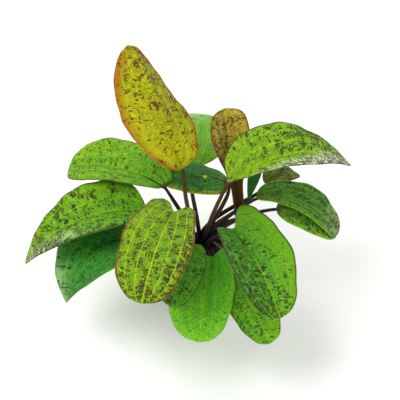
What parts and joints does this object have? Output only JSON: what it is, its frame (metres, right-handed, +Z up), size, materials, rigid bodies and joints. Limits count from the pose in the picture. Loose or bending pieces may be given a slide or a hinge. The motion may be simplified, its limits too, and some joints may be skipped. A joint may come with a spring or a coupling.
{
  "type": "potted water plant",
  "caption": "Sword plant with a rosette of broad speckled leaves on short stalks, rooted in mineral wool in a small slotted net pot.",
  "frame": {"origin": "centre of the pot's underside", "axes": "+Z up, -Y towards the side the plant is looked at from"},
  "size_m": [0.2337, 0.2187, 0.2062],
  "materials": {
    "green_leaf": "satin",
    "speckled_leaf": "satin",
    "plain_leaf": "satin",
    "dark_leaf": "satin",
    "yellow_leaf": "satin",
    "brown_leaf": "satin",
    "stalk": "satin",
    "crown": "matte",
    "wool": "matte",
    "pot": "matte"
  },
  "bodies": {
    "root": {"pot": "pot", "wool": "wool", "crown": "crown", "stalk_tall": "stalk", "leaf_tall": "yellow_leaf", "stalk_back_left": "stalk", "leaf_back_left": "green_leaf", "stalk_left_long": "stalk", "leaf_left_long": "green_leaf", "stalk_front_left": "stalk", "leaf_front_left": "speckled_leaf", "stalk_low_left": "stalk", "leaf_low_left": "dark_leaf", "stalk_front_small": "stalk", "leaf_front_small": "green_leaf", "stalk_front": "stalk", "leaf_front": "plain_leaf", "stalk_front_right": "stalk", "leaf_front_right": "green_leaf", "stalk_low_right": "stalk", "leaf_low_right": "plain_leaf", "stalk_young": "stalk", "leaf_young": "brown_leaf", "stalk_right_long": "stalk", "leaf_right_long": "green_leaf", "stalk_right": "stalk", "leaf_right": "dark_leaf", "stalk_right_low": "stalk", "leaf_right_low": "dark_leaf", "stalk_back": "stalk", "leaf_back": "plain_leaf", "stalk_back_shaded": "stalk", "leaf_back_shaded": "dark_leaf", "stalk_back_right": "stalk", "leaf_back_right": "dark_leaf", "stalk_youngest": "stalk", "leaf_youngest": "plain_leaf"}
  },
  "joints": []
}
